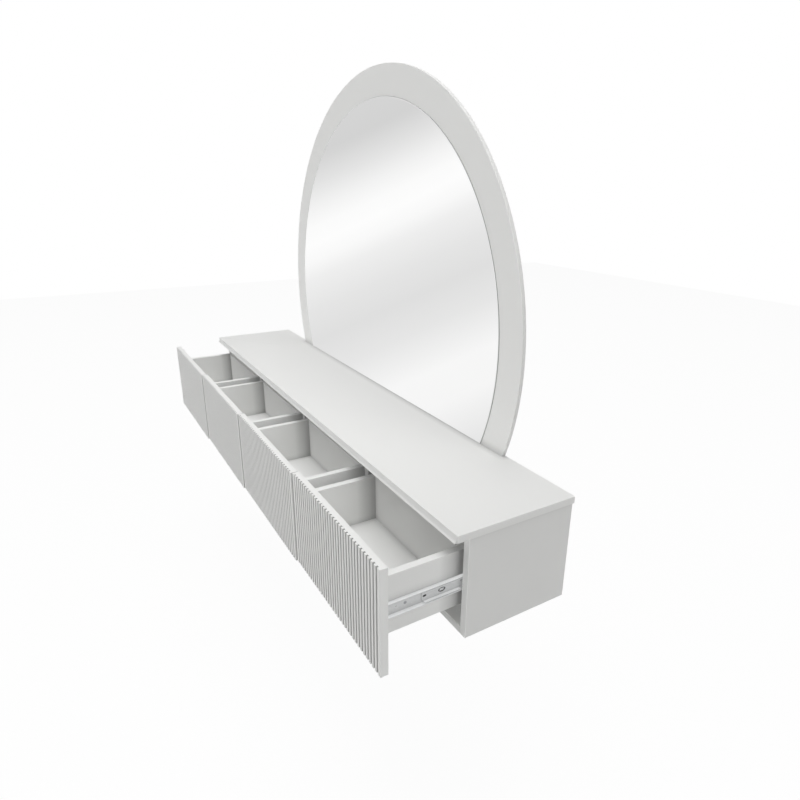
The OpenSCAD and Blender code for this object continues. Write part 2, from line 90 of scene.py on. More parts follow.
class Coat(Enum):
    """Finishes of the table, each with the material slot of the record that it belongs to."""

    CABINET = ("cabinet", "white_lacquer")
    SIDE = ("side panel", "white_lacquer")
    PARTITION = ("partition", "white_lacquer")
    FRONT = ("drawer front", "white_lacquer")
    ROUND = ("mirror board", "white_lacquer")
    FLOOR = ("drawer floor", "white_board")
    WALL = ("drawer wall", "white_board")
    BACK = ("drawer back", "white_board")
    GLASS = ("mirror glass", "silvered_glass")
    RAIL = ("runner rail", "zinc_steel")
    # A darker copy of the runner zinc: painted shade.
    DULL_RAIL = ("cabinet rail", "zinc_steel")
    CAGE = ("ball cage", "cage_steel")
    SCREW = ("screw", "screw_steel")
    BEECH = ("dowel", "beech")

    @property
    def title(self) -> str:
        """Plain name of the finish."""
        return self.value[0]

    @property
    def slot(self) -> str:
        """Material slot of the record."""
        return self.value[1]


class Kind(Enum):
    """What edit mode selects."""

    EDGE = "EDGE"
    FACE = "FACE"


class Wire:
    """An output socket whose operators add Math nodes to its graph."""

    def __init__(self, graph: "Graph", socket: bpy.types.NodeSocket) -> None:
        """Keeps the graph and the socket."""
        self.graph = graph
        self.socket = socket

    def _math(self, operation: str, *values: "Wire | float", clamp: bool = False) -> "Wire":
        """Adds one Math node.

        Args:
            operation: Name of the Math node's operation.
            values: Its inputs in order, each a wire or a number.
            clamp: Whether the result is kept between 0 and 1.

        Returns:
            The node's result.
        """
        settings = {"operation": operation, "use_clamp": clamp}
        return self.graph.node("ShaderNodeMath", settings, dict(enumerate(values)))

    def __add__(self, other: "Wire | float") -> "Wire":
        """Sum."""
        return self._math("ADD", self, other)

    __radd__ = __add__

    def __sub__(self, other: "Wire | float") -> "Wire":
        """Difference."""
        return self._math("SUBTRACT", self, other)

    def __rsub__(self, other: float) -> "Wire":
        """Difference from a number."""
        return self._math("SUBTRACT", other, self)

    def __mul__(self, other: "Wire | float") -> "Wire":
        """Product."""
        return self._math("MULTIPLY", self, other)

    __rmul__ = __mul__

    def __truediv__(self, other: "Wire | float") -> "Wire":
        """Quotient."""
        return self._math("DIVIDE", self, other)

    def __rtruediv__(self, other: float) -> "Wire":
        """A number divided by the value."""
        return self._math("DIVIDE", other, self)

    def __pow__(self, other: "Wire | float") -> "Wire":
        """Power."""
        return self._math("POWER", self, other)

    def __rpow__(self, other: float) -> "Wire":
        """A number to the power of the value."""
        return self._math("POWER", other, self)

    def above(self, limit: float) -> "Wire":
        """1 where the value is above the limit, and 0 elsewhere."""
        return self._math("GREATER_THAN", self, limit)

    def below(self, limit: float) -> "Wire":
        """1 where the value is below the limit, and 0 elsewhere."""
        return self._math("LESS_THAN", self, limit)

    def highest(self, other: "Wire | float") -> "Wire":
        """The higher of two values."""
        return self._math("MAXIMUM", self, other)

    def sine(self) -> "Wire":
        """Sine of the value in radians."""
        return self._math("SINE", self)

    def clamped(self) -> "Wire":
        """The value kept between 0 and 1."""
        return self._math("ADD", self, 0.0, clamp=True)

    def beside(self, output: int | str) -> "Wire":
        """Another output of the same node."""
        return Wire(self.graph, self.socket.node.outputs[output])


class Graph:
    """A node tree that is built from Python expressions."""

    # A Mix node keeps its two colours and their blend at these places among its sockets.
    mix_inputs: tuple[int, int] = (6, 7)
    mix_output: int = 2
    crease_samples: int = 8
    # Colour of the painted shade in creases.
    crease_shade: Colour = (0.02, 0.02, 0.02)

    def __init__(self, tree: bpy.types.NodeTree) -> None:
        """Keeps the tree and empties it."""
        self.tree = tree
        tree.nodes.clear()

    def add(self, kind: str, settings: Mapping[str, Any], inputs: Mapping[int | str, Any]) -> bpy.types.Node:
        """Adds one node.

        Args:
            kind: Blender's name of the node type.
            settings: Its settings, set before its sockets. The stops of a ramp are places and greys.
            inputs: Values or wires by the socket's index or name.

        Returns:
            The node.
        """
        made = self.tree.nodes.new(kind)
        for key, value in settings.items():
            if key == "stops":
                self.set_ramp(made.color_ramp, value)
            else:
                setattr(made, key, value)
        for key, value in inputs.items():
            if isinstance(value, Wire):
                self.tree.links.new(value.socket, made.inputs[key])
            else:
                made.inputs[key].default_value = value
        return made

    @staticmethod
    def set_ramp(ramp: bpy.types.ColorRamp, stops: Sequence[tuple[float, float]]) -> None:
        """Sets the stops of a colour ramp.

        Args:
            ramp: The ramp.
            stops: Place and grey of each stop.
        """
        while len(ramp.elements) < len(stops):
            ramp.elements.new(0.5)
        for element, (place, grey) in zip(ramp.elements, stops):
            element.position = place
            element.color = (grey, grey, grey, 1.0)

    def node(
        self,
        kind: str,
        settings: Mapping[str, Any] | None = None,
        inputs: Mapping[int | str, Any] | None = None,
        output: int | str = 0,
    ) -> Wire:
        """Adds one node and picks the output that is wanted, by its index or name."""
        return Wire(self, self.add(kind, settings or {}, inputs or {}).outputs[output])

    def close(self, kind: str, surface: Wire) -> None:
        """Ends the graph in its output node."""
        self.add(kind, {}, {"Surface": surface})

    def place(self) -> Wire:
        """Object coordinates in metres."""
        return self.node("ShaderNodeTexCoord", output="Object")

    def stretched(self, vector: Wire, scale: Triple, centre: Triple = (0.0, 0.0, 0.0)) -> Wire:
        """Moves a pattern's centre and stretches it.

        Args:
            vector: Coordinates to start from.
            scale: Scale on each axis.
            centre: Point that becomes the origin.

        Returns:
            The new coordinates.
        """
        moved = self.node("ShaderNodeVectorMath", {"operation": "SUBTRACT"}, {0: vector, 1: centre})
        return self.node("ShaderNodeVectorMath", {"operation": "MULTIPLY"}, {0: moved, 1: scale})

    def parts(self, vector: Wire) -> tuple[Wire, Wire, Wire]:
        """X, Y and Z of a vector."""
        across = self.node("ShaderNodeSeparateXYZ", inputs={0: vector})
        return across, across.beside(1), across.beside(2)

    def noise(self, vector: Wire, scale: float, detail: float = 2.0, roughness: float = 0.5) -> Wire:
        """Smooth noise from 0 to 1.

        Args:
            vector: Coordinates of the pattern.
            scale: Waves in a metre.
            detail: Number of finer layers.
            roughness: Share of the finer layers.

        Returns:
            The noise.
        """
        return self.node(
            "ShaderNodeTexNoise",
            {"noise_dimensions": "3D"},
            {"Vector": vector, "Scale": scale, "Detail": detail, "Roughness": roughness},
        )

    def cells(self, vector: Wire, scale: float) -> Wire:
        """A random grey for each cell of a broken surface, with the number of cells in a metre."""
        inputs = {"Vector": vector, "Scale": scale}
        return self.parts(self.node("ShaderNodeTexVoronoi", inputs=inputs, output="Color"))[0]

    def blend(self, share: Wire | float, low: Any, high: Any) -> Wire:
        """Mixes two colours.

        Args:
            share: Share of the second colour.
            low: First colour, three numbers or a wire.
            high: Second colour, three numbers or a wire.

        Returns:
            The mixed colour.
        """
        ends = [value if isinstance(value, Wire) else (*value, 1.0) for value in (low, high)]
        inputs = {0: share, **dict(zip(self.mix_inputs, ends))}
        return self.node("ShaderNodeMix", {"data_type": "RGBA"}, inputs, output=self.mix_output)

    def shade_creases(self, colour: Wire, reach: float, depth: float) -> Wire:
        """Darkens a colour in creases and narrow gaps with painted shade, from the ambient occlusion node.

        Args:
            colour: Colour of the clean surface.
            reach: How near the next surface has to be, in metres.
            depth: Share of the painted shade in a closed crease.

        Returns:
            The colour with its painted shade.
        """
        settings = {"samples": self.crease_samples}
        clean = self.node("ShaderNodeAmbientOcclusion", settings, {"Distance": reach}, output="AO")
        return self.blend((1.0 - clean) * depth, colour, self.crease_shade)

    def bump(self, height: Wire, depth: float) -> Wire:
        """Turns a height from 0 to 1 into a normal, with the depth in metres of a height of 1."""
        return self.node("ShaderNodeBump", inputs={"Height": height, "Distance": depth, "Strength": 1.0})


def darker(tone: Colour, share: float) -> Colour:
    """A colour with each of its values multiplied by a share."""
    return tuple(value * share for value in tone)


@dataclass(frozen=True)
class Finish:
    """What every finish shares: its name and the material round its Principled shader."""

    name: str

    def paint(self, graph: Graph) -> dict[str, Any]:
        """Gives the shader's inputs by name, which each finish does in its own way."""
        raise NotImplementedError(self.name)

    def build(self) -> bpy.types.Material:
        """Builds the material.

        Returns:
            The material.
        """
        material = bpy.data.materials.new(self.name)
        material.use_nodes = True
        graph = Graph(material.node_tree)
        shader = graph.node("ShaderNodeBsdfPrincipled", inputs=self.paint(graph))
        graph.close("ShaderNodeOutputMaterial", shader)
        return material


@dataclass(frozen=True)
class Lacquer(Finish):
    """Sprayed satin lacquer on fibreboard: a faint orange peel, a hardly uneven tone, painted shade in
    creases and marked places, and a painted highlight on a front edge.
    """

    tone: Colour
    shade: float = 0.975
    gloss: float = 0.40
    gloss_drift: float = 0.08
    cloud_scale: float = 7.0
    grain_scale: float = 1900.0
    peel_scale: float = 420.0
    peel_depth: float = 0.05 * MM
    # Painted shade where the mesh marks it: the tone at a full mark, and how fast a mark reaches it.
    painted_shade_tone: float = 1.0
    painted_shade_gain: float = 1.6
    # Painted shade in creases: how near the next surface has to be, and how dark a closed crease gets.
    crease_shade_reach: float = 20 * MM
    crease_shade_depth: float = 0.55
    # A painted highlight on the faces in front of this Y, and its colour.
    highlight_y: float | None = None
    highlight_tone: Colour = (0.95, 0.952, 0.94)

    def paint(self, graph: Graph) -> dict[str, Any]:
        """Lays clouds of tone, a drift of gloss, the peel, painted shade where the mesh marks it and in
        creases, and a painted highlight on a front edge.

        Args:
            graph: Graph of the material.

        Returns:
            The shader's inputs by name.
        """
        place = graph.place()
        clouds = graph.noise(place, self.cloud_scale, 3.0, 0.55)
        grain = graph.noise(place, self.grain_scale, 1.0)
        peel = graph.noise(place, self.peel_scale, 2.0, 0.6)
        share = (clouds * 0.8 + grain * 0.2).clamped()
        colour = graph.blend(share, darker(self.tone, self.shade), self.tone)
        # Painted shade where the mesh marks it: deep in the fronts' flutes and on the mirror board's rim.
        if self.painted_shade_tone < 1.0:
            shaded = graph.node("ShaderNodeAttribute", {"attribute_name": "thin_paint"}, output="Fac")
            share = (shaded * self.painted_shade_gain).clamped()
            colour = graph.blend(share, colour, darker(self.tone, self.painted_shade_tone))
        colour = graph.shade_creases(colour, self.crease_shade_reach, self.crease_shade_depth)
        # Painted highlight on the front edge of a panel.
        if self.highlight_y is not None:
            front = graph.parts(place)[1].below(self.highlight_y)
            colour = graph.blend(front, colour, self.highlight_tone)
        return {
            "Base Color": colour,
            "Roughness": self.gloss + (clouds - 0.5) * self.gloss_drift + (grain - 0.5) * 0.03,
            "Normal": graph.bump(peel * 0.8 + grain * 0.2, self.peel_depth),
        }


@dataclass(frozen=True)
class FacedBoard(Finish):
    """White faced board of the drawer boxes, with a fine pressed pore along its length."""

    tone: Colour
    shade: float = 0.96
    gloss: float = 0.46
    cloud_scale: float = 9.0
    pore_stretch: Triple = (0.06, 0.05, 1.0)
    pore_scale: float = 1500.0
    pore_depth: float = 0.03 * MM
    # Painted shade in creases: how near the next surface has to be, and how dark a closed crease gets.
    crease_shade_reach: float = 16 * MM
    crease_shade_depth: float = 0.38
    # Painted shadow of the top board on the walls' back end: where it starts, how long it takes to darken,
    # how dark it gets and its colour.
    shadow_from: float | None = None
    shadow_length: float = 38 * MM
    shadow_depth: float = 0.38
    shadow_tone: Colour = (0.03, 0.03, 0.03)

    def paint(self, graph: Graph) -> dict[str, Any]:
        """Lays the pores, a soft drift of tone, painted shade in creases and a painted shadow of the top
        board on the end below it.

        Args:
            graph: Graph of the material.

        Returns:
            The shader's inputs by name.
        """
        place = graph.place()
        pores = graph.noise(graph.stretched(place, self.pore_stretch), self.pore_scale, 2.0, 0.6)
        clouds = graph.noise(place, self.cloud_scale, 3.0)
        share = (clouds * 0.7 + pores * 0.3).clamped()
        colour = graph.blend(share, darker(self.tone, self.shade), self.tone)
        # Painted shadow of the top board, darker towards the back.
        if self.shadow_from is not None:
            along = ((graph.parts(place)[1] - self.shadow_from) / self.shadow_length).clamped()
            colour = graph.blend(along * self.shadow_depth, colour, self.shadow_tone)
        return {
            "Base Color": graph.shade_creases(colour, self.crease_shade_reach, self.crease_shade_depth),
            "Roughness": self.gloss + (pores - 0.5) * 0.08,
            "Normal": graph.bump(pores, self.pore_depth),
        }


@dataclass(frozen=True)
class ShadeMark:
    """A dark oval or oval ring of painted shade on a rail, given in the YZ plane."""

    y: float
    z: float
    half_y: float
    half_z: float
    hollow: float = 0.0
    reach: float = 1.15
    outer_fade: float = 4.0
    inner_fade: float = 6.0

    def mask(self, graph: Graph) -> Wire:
        """Marks the painted shade.

        Args:
            graph: Graph of the material.

        Returns:
            1 inside the painted shade and 0 outside, with a soft edge.
        """
        _, y, z = graph.parts(graph.place())
        along, up = (y - self.y) / self.half_y, (z - self.z) / self.half_z
        off = along * along + up * up
        inside = ((self.reach - off) * self.outer_fade).clamped()
        return inside * ((off - self.hollow) * self.inner_fade).clamped() if self.hollow else inside


@dataclass(frozen=True)
class PlatedSteel(Finish):
    """Zinc-plated steel strip: blotches of the plating, rolling lines and a few dull patches."""

    tone: Colour
    dull: Colour
    gloss: float = 0.26
    metal: float = 0.92
    blotch_scale: float = 260.0
    patch_scale: float = 46.0
    line_stretch: Triple = (1.0, 0.02, 1.0)
    line_scale: float = 2600.0
    line_depth: float = 0.02 * MM
    # Painted shade at the rails' holes: where it lies, and its colour.
    shade_marks: tuple[ShadeMark, ...] = ()
    shade_paint: Colour = (0.012, 0.012, 0.013)
    # Painted shade in creases: how near the next surface has to be, and how dark a closed crease gets.
    crease_shade_reach: float = 12 * MM
    crease_shade_depth: float = 0.6

    def paint(self, graph: Graph) -> dict[str, Any]:
        """Lays the blotches, the patches, the rolling lines, painted shade in creases and any painted shade
        at the rails' holes.

        Args:
            graph: Graph of the material.

        Returns:
            The shader's inputs by name.
        """
        place = graph.place()
        blotches = graph.cells(graph.stretched(place, (1.0, 0.6, 1.0)), self.blotch_scale)
        patches = graph.noise(place, self.patch_scale, 3.0, 0.6)
        lines = graph.noise(graph.stretched(place, self.line_stretch), self.line_scale, 2.0)
        share = (blotches * 0.35 + patches * 0.55 + lines * 0.1).clamped()
        colour = graph.blend(share, self.dull, self.tone)
        metal: Wire | float = self.metal
        # Painted shade at the holes, with less metal there.
        if self.shade_marks:
            dark, *others = (shade_mark.mask(graph) for shade_mark in self.shade_marks)
            for other in others:
                dark = dark.highest(other)
            colour = graph.blend(dark, colour, self.shade_paint)
            metal = (1.0 - dark) * self.metal
        return {
            "Base Color": graph.shade_creases(colour, self.crease_shade_reach, self.crease_shade_depth),
            "Metallic": metal,
            "Roughness": self.gloss + (1.0 - patches) * 0.16 + (blotches - 0.5) * 0.06,
            "Normal": graph.bump(lines * 0.7 + patches * 0.3, self.line_depth),
        }


@dataclass(frozen=True)
class SilveredGlass(Finish):
    """Silvered glass: a clear mirror face with a polished arris and a dull green edge."""

    centre: Triple
    radius: float
    tone: Colour = (0.965, 0.965, 0.963)
    edge: Colour = (0.44, 0.455, 0.45)
    edge_band: float = 0.3 * MM
    haze_scale: float = 14.0

    def paint(self, graph: Graph) -> dict[str, Any]:
        """Tells the edge by its distance from the centre and lays the finest haze on the face.

        Args:
            graph: Graph of the material.

        Returns:
            The shader's inputs by name.
        """
        place = graph.place()
        across, _, up = graph.parts(graph.stretched(place, (1.0, 1.0, 1.0), self.centre))
        reach = (across * across + up * up) ** 0.5
        rim = reach.above(self.radius - self.edge_band)
        haze = graph.noise(place, self.haze_scale, 4.0, 0.6)
        face = graph.blend(haze, darker(self.tone, 0.992), self.tone)
        return {
            "Base Color": graph.blend(rim, face, self.edge),
            "Metallic": 1.0 - rim,
            "Roughness": 0.012 + haze * 0.012 + rim * 0.25,
        }


@dataclass(frozen=True)
class TurnedBeech(Finish):
    """Beech rod: long fibres, short dark flecks and faint rings."""

    tone: Colour
    dark: Colour
    fibre_scale: float = 1400.0
    fibre_depth: float = 0.08 * MM
    fleck_scale: float = 1100.0
    ring_scale: float = 2600.0

    def paint(self, graph: Graph) -> dict[str, Any]:
        """Lays rings, fibres and flecks.

        Args:
            graph: Graph of the material.

        Returns:
            The shader's inputs by name.
        """
        place = graph.place()
        across, _, up = graph.parts(place)
        fibres = graph.noise(graph.stretched(place, (1.0, 1.0, 0.08)), self.fibre_scale, 3.0, 0.65)
        flecks = graph.cells(graph.stretched(place, (1.0, 1.0, 0.2)), self.fleck_scale).above(0.86)
        rings = ((across + up) * self.ring_scale + fibres * 3.0).sine() * 0.5 + 0.5
        share = (fibres * 0.5 + rings * 0.25 + flecks * 0.3).clamped()
        return {
            "Base Color": graph.blend(share, self.tone, self.dark),
            "Roughness": 0.55 + fibres * 0.15,
            "Normal": graph.bump(fibres, self.fibre_depth),
        }


class Bench:
    """The bench: Blender's operators that start, shape and finish one mesh piece."""

    merge_distance: float = 0.002 * MM
    flat_angle: float = math.radians(0.3)
    arris_angle: float = math.radians(30)
    smooth_angle: float = math.radians(50)
    normal_weight: int = 100

    @staticmethod
    def clear() -> None:
        """Leaves edit mode and deselects every object."""
        if bpy.context.object and bpy.context.object.mode != "OBJECT":
            bpy.ops.object.mode_set(mode="OBJECT")
        for item in bpy.context.scene.objects:
            if item.select_get():
                item.select_set(False)

    @classmethod
    def hold(cls, piece: bpy.types.Object) -> None:
        """Makes one object the only selected and active one.

        Args:
            piece: The object.
        """
        cls.clear()
        piece.select_set(True)
        bpy.context.view_layer.objects.active = piece

    @classmethod
    def settle(cls, piece: bpy.types.Object, name: str) -> bpy.types.Object:
        """Names an object and puts its place into its mesh.

        Args:
            piece: The object.
            name: Its name.

        Returns:
            The object, at the origin.
        """
        piece.name = piece.data.name = name
        cls.hold(piece)
        bpy.ops.object.transform_apply(location=True, rotation=True, scale=True)
        return piece

    @classmethod
    def block(cls, name: str, low: Vector, high: Vector) -> bpy.types.Object:
        """Starts a piece from a cube.

        Args:
            name: Name of the piece.
            low: Its lowest corner.
            high: Its highest corner.

        Returns:
            The piece, with its place in its mesh.
        """
        cls.clear()
        bpy.ops.mesh.primitive_cube_add(size=1.0, location=(low + high) / 2, scale=high - low)
        return cls.settle(bpy.context.object, name)

    @classmethod
    def disc(
        cls, name: str, centre: Vector, radius: float, depth: float, sides: int, upright: bool = False
    ) -> bpy.types.Object:
        """Starts a piece from a cylinder along Y, or along Z if it is upright.

        Args:
            name: Name of the piece.
            centre: Middle of the cylinder.
            radius: Its radius.
            depth: Its length.
            sides: Number of its sides.
            upright: Whether it runs along Z.

        Returns:
            The piece, with its place in its mesh.
        """
        cls.clear()
        turn = (0.0 if upright else math.pi / 2, 0.0, 0.0)
        bpy.ops.mesh.primitive_cylinder_add(
            vertices=sides, radius=radius, depth=depth, location=centre, rotation=turn
        )
        return cls.settle(bpy.context.object, name)

    @classmethod
    def twin(cls, piece: bpy.types.Object, name: str, shift: Vector) -> bpy.types.Object:
        """Copies an object with a mesh of its own.

        Args:
            piece: The object.
            name: Name of the copy.
            shift: How far the copy is moved.

        Returns:
            The copy, with its place in its mesh.
        """
        copy = bpy.data.objects.new(name, piece.data.copy())
        bpy.context.scene.collection.objects.link(copy)
        copy.location = shift
        return cls.settle(copy, name)

    @classmethod
    def from_node(cls, node: str, name: str) -> bpy.types.Object:
        """Copies a CAD node's mesh, merges it and clears the edges inside its flat faces.

        Args:
            node: Name of the CAD node.
            name: Name of the new piece.

        Returns:
            The new piece.
        """
        piece = cls.twin(frame["nodes"][node], name, Vector())
        with cls.edit(piece, everything=True):
            bpy.ops.mesh.remove_doubles(threshold=cls.merge_distance)
            bpy.ops.mesh.dissolve_limited(angle_limit=cls.flat_angle)
        return piece

    @classmethod
    @contextmanager
    def edit(
        cls, piece: bpy.types.Object, everything: bool = False, kind: Kind = Kind.FACE
    ) -> Iterator[bmesh.types.BMesh]:
        """Edit mode on one piece.

        Args:
            piece: The piece.
            everything: Whether its whole mesh starts selected, instead of nothing.
            kind: What is selected.

        Yields:
            The mesh under edit.
        """
        cls.hold(piece)
        bpy.ops.object.mode_set(mode="EDIT")
        bpy.ops.mesh.select_mode(type=kind.value)
        bpy.ops.mesh.select_all(action="SELECT" if everything else "DESELECT")
        yield bmesh.from_edit_mesh(piece.data)
        bpy.ops.object.mode_set(mode="OBJECT")

    @staticmethod
    def pick(piece: bpy.types.Object, found: Sequence[Any]) -> None:
        """Selects faces or edges of a piece in edit mode.

        Args:
            piece: The piece under edit.
            found: Faces or edges to select.
        """
        for part in found:
            part.select_set(True)
        bmesh.update_edit_mesh(piece.data)

    @staticmethod
    def pull(distance: float) -> None:
        """Extrudes what is selected along Y."""
        bpy.ops.mesh.extrude_region_move(TRANSFORM_OT_translate={"value": (0.0, distance, 0.0)})

    @classmethod
    def saw_off(cls, piece: bpy.types.Object, height: float) -> None:
        """Saws a piece off level, keeps what is above and closes the cut.

        Args:
            piece: The piece.
            height: Height of the cut.
        """
        with cls.edit(piece, everything=True):
            bpy.ops.mesh.bisect(
                plane_co=(0.0, 0.0, height), plane_no=(0.0, 0.0, 1.0), use_fill=True, clear_inner=True
            )

    @classmethod
    def ease(cls, piece: bpy.types.Object, test: EdgeTest, width: float, segments: int) -> None:
        """Rounds chosen edges.

        Args:
            piece: The piece.
            test: Says of an edge, by its two ends, whether it is rounded.
            width: Width of the rounding.
            segments: Number of strips in the rounding.
        """
        with cls.edit(piece, kind=Kind.EDGE) as mesh:
            found = [
                edge
                for edge in mesh.edges
                if len(edge.link_faces) == 2
                and edge.calc_face_angle(0.0) > cls.arris_angle
                and edge.is_convex
                and test(edge.verts[0].co, edge.verts[1].co)
            ]
            cls.pick(piece, found)
            bpy.ops.mesh.bevel(offset=width, segments=segments, affect="EDGES", clamp_overlap=True)
        log.debug("%s: %d edges eased", piece.name, len(found))

    @classmethod
    def cut(cls, piece: bpy.types.Object, cutter: bpy.types.Object) -> None:
        """Takes one solid out of a piece and removes it.

        Args:
            piece: The piece.
            cutter: The solid.
        """
        cls.hold(piece)
        step = piece.modifiers.new("cut", "BOOLEAN")
        step.operation = "DIFFERENCE"
        step.solver = "EXACT"
        step.object = cutter
        bpy.ops.object.modifier_apply(modifier=step.name)
        bpy.data.objects.remove(cutter)

    @staticmethod
    def mark_painted_shade(piece: bpy.types.Object, share: Callable[[Vector], float]) -> None:
        """Stores for each vertex how much painted shade it gets, from 0 to 1.

        Args:
            piece: The piece.
            share: Gives the value for a point.
        """
        marks = piece.data.attributes.new("thin_paint", "FLOAT", "POINT")
        for vertex, mark in zip(piece.data.vertices, marks.data):
            mark.value = share(vertex.co)

    @classmethod
    def polish(cls, piece: bpy.types.Object) -> None:
        """Shades a piece smooth across its roundings and flat on its faces.

        Args:
            piece: The piece.
        """
        cls.hold(piece)
        bpy.ops.object.shade_smooth_by_angle(angle=cls.smooth_angle)
        step = piece.modifiers.new("normals", "WEIGHTED_NORMAL")
        step.keep_sharp = True
        step.weight = cls.normal_weight
        bpy.ops.object.modifier_apply(modifier=step.name)


def both_ends(test: PointTest) -> EdgeTest:
    """Makes a test that is true for an edge where it is true for both of its ends."""
    return lambda start, end: test(start) and test(end)


def on_box(low: Vector, high: Vector) -> EdgeTest:
    """Makes a test for the twelve outer edges of a board.

    Args:
        low: Lowest corner of the board.
        high: Highest corner of the board.

    Returns:
        A test that is true for an edge on two sides of the box.
    """
    sides = [(axis, limit) for axis in range(3) for limit in (low[axis], high[axis])]
    slack = 2 * TOUCH

    def test(start: Vector, end: Vector) -> bool:
        """True where both ends lie on the same two sides of the box."""
        shared = [max(abs(start[axis] - limit), abs(end[axis] - limit)) < slack for axis, limit in sides]
        return sum(shared) >= 2

    return test


@dataclass
class SubAssembly:
    """What every sub-assembly shares: its finishes and the way that a piece is put in place."""

    finishes: Mapping[Coat, bpy.types.Material]

    def fit(self, piece: bpy.types.Object, node: str, body: str, coat: Coat) -> None:
        """Finishes a piece and lets it stand for its CAD node.

        Args:
            piece: The piece.
            node: CAD node that it stands for.
            body: Body that it rides on.
            coat: Its finish.
        """
        Bench.polish(piece)
        piece.data.materials.clear()
        piece.data.materials.append(self.finishes[coat])
        piece.visible_glossy = False
        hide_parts(node)
        coat.slot
        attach(piece, body)
        faces = len(piece.data.polygons)
        log.info("%s: %d faces, stands for %s, finished as %s", piece.name, faces, node, coat.title)

    def dress(self, node: str, coat: Coat, special: bpy.types.Material | None = None) -> None:
        """Gives a CAD node its finish.

        Args:
            node: Name of the node.
            coat: Its finish.
            special: Material that takes the place of the finish's own.
        """
        shell = frame["nodes"][node]
        shell.data.materials.clear()
        shell.data.materials.append(special or self.finishes[coat])
        shell.visible_glossy = False
        log.info("%s: keeps its form, finished as %s", node, coat.title)

    def board(self, node: str, body: str, coat: Coat, easing: float) -> None:
        """Makes a board with eased edges from its CAD node.

        Args:
            node: CAD node of the board.
            body: Body that it rides on.
            coat: Its finish.
            easing: Width of the rounding on its outer edges.
        """
        piece = Bench.from_node(node, f"{node}_eased")
        Bench.ease(piece, on_box(*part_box(node)), easing, 3)
        self.fit(piece, node, body, coat)


@dataclass
class Carcass(SubAssembly):
    """Top board, panels, bottom board, partitions and back panel, all fixed to each other."""

    easing: float = 0.8 * MM
    corner_radius: float = 2.0 * MM
    corner_slack: float = 0.05 * MM
    top_easing: float = 1.3 * MM
    foot_easing: float = 0.6 * MM
    nose_easing: float = 0.3 * MM
    lip_depth: float = 5.0 * MM
    lip_clearance: float = 3.0 * MM
    # Depth of the painted highlight on the front edge of the side panels.
    edge_band: float = 0.9 * MM
    boards: tuple[tuple[str, Coat], ...] = (
        ("side_left", Coat.SIDE),
        ("side_right", Coat.SIDE),
        ("bottom_board", Coat.CABINET),
        ("partition_left", Coat.PARTITION),
        ("partition_mid", Coat.PARTITION),
        ("partition_right", Coat.PARTITION),
        ("back_panel", Coat.CABINET),
    )

    def make_top(self) -> None:
        """Makes the top board: its rim, its underside and the nose of its front lip are eased."""
        low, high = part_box("top_board")
        piece = Bench.from_node("top_board", "top_board_eased")
        lip = low.y + self.lip_depth
        near = self.corner_radius + self.corner_slack

        def on_outline(point: Vector) -> bool:
            """True for a point on the board's sides or its round corners."""
            behind = point.y > high.y - self.corner_slack
            return behind or abs(point.x) > high.x - near or point.y < lip + near

        def on_rim(point: Vector) -> bool:
            """True for a point round the board's upper face."""
            return abs(point.z - high.z) < TOUCH and on_outline(point)

        def on_foot(point: Vector) -> bool:
            """True for a point round the board's lower face, behind the lip."""
            behind = point.y > lip + self.lip_clearance
            return abs(point.z - low.z) < TOUCH and on_outline(point) and behind

        def on_nose(point: Vector) -> bool:
            """True for a point at the very front of the lip."""
            return abs(point.y - low.y) < TOUCH

        Bench.ease(piece, both_ends(on_rim), self.top_easing, 3)
        Bench.ease(piece, both_ends(on_foot), self.foot_easing, 2)
        Bench.ease(piece, both_ends(on_nose), self.nose_easing, 2)
        self.fit(piece, "top_board", "carcass", Coat.CABINET)

    def build(self) -> None:
        """Makes and dresses the whole carcass."""
        self.make_top()
        for node, coat in self.boards:
            self.board(node, "carcass", coat, self.easing)
        self.dress("cabinet_rails", Coat.DULL_RAIL)
        self.dress("cabinet_screws", Coat.SCREW)
        self.dress("carcass_dowels", Coat.BEECH)


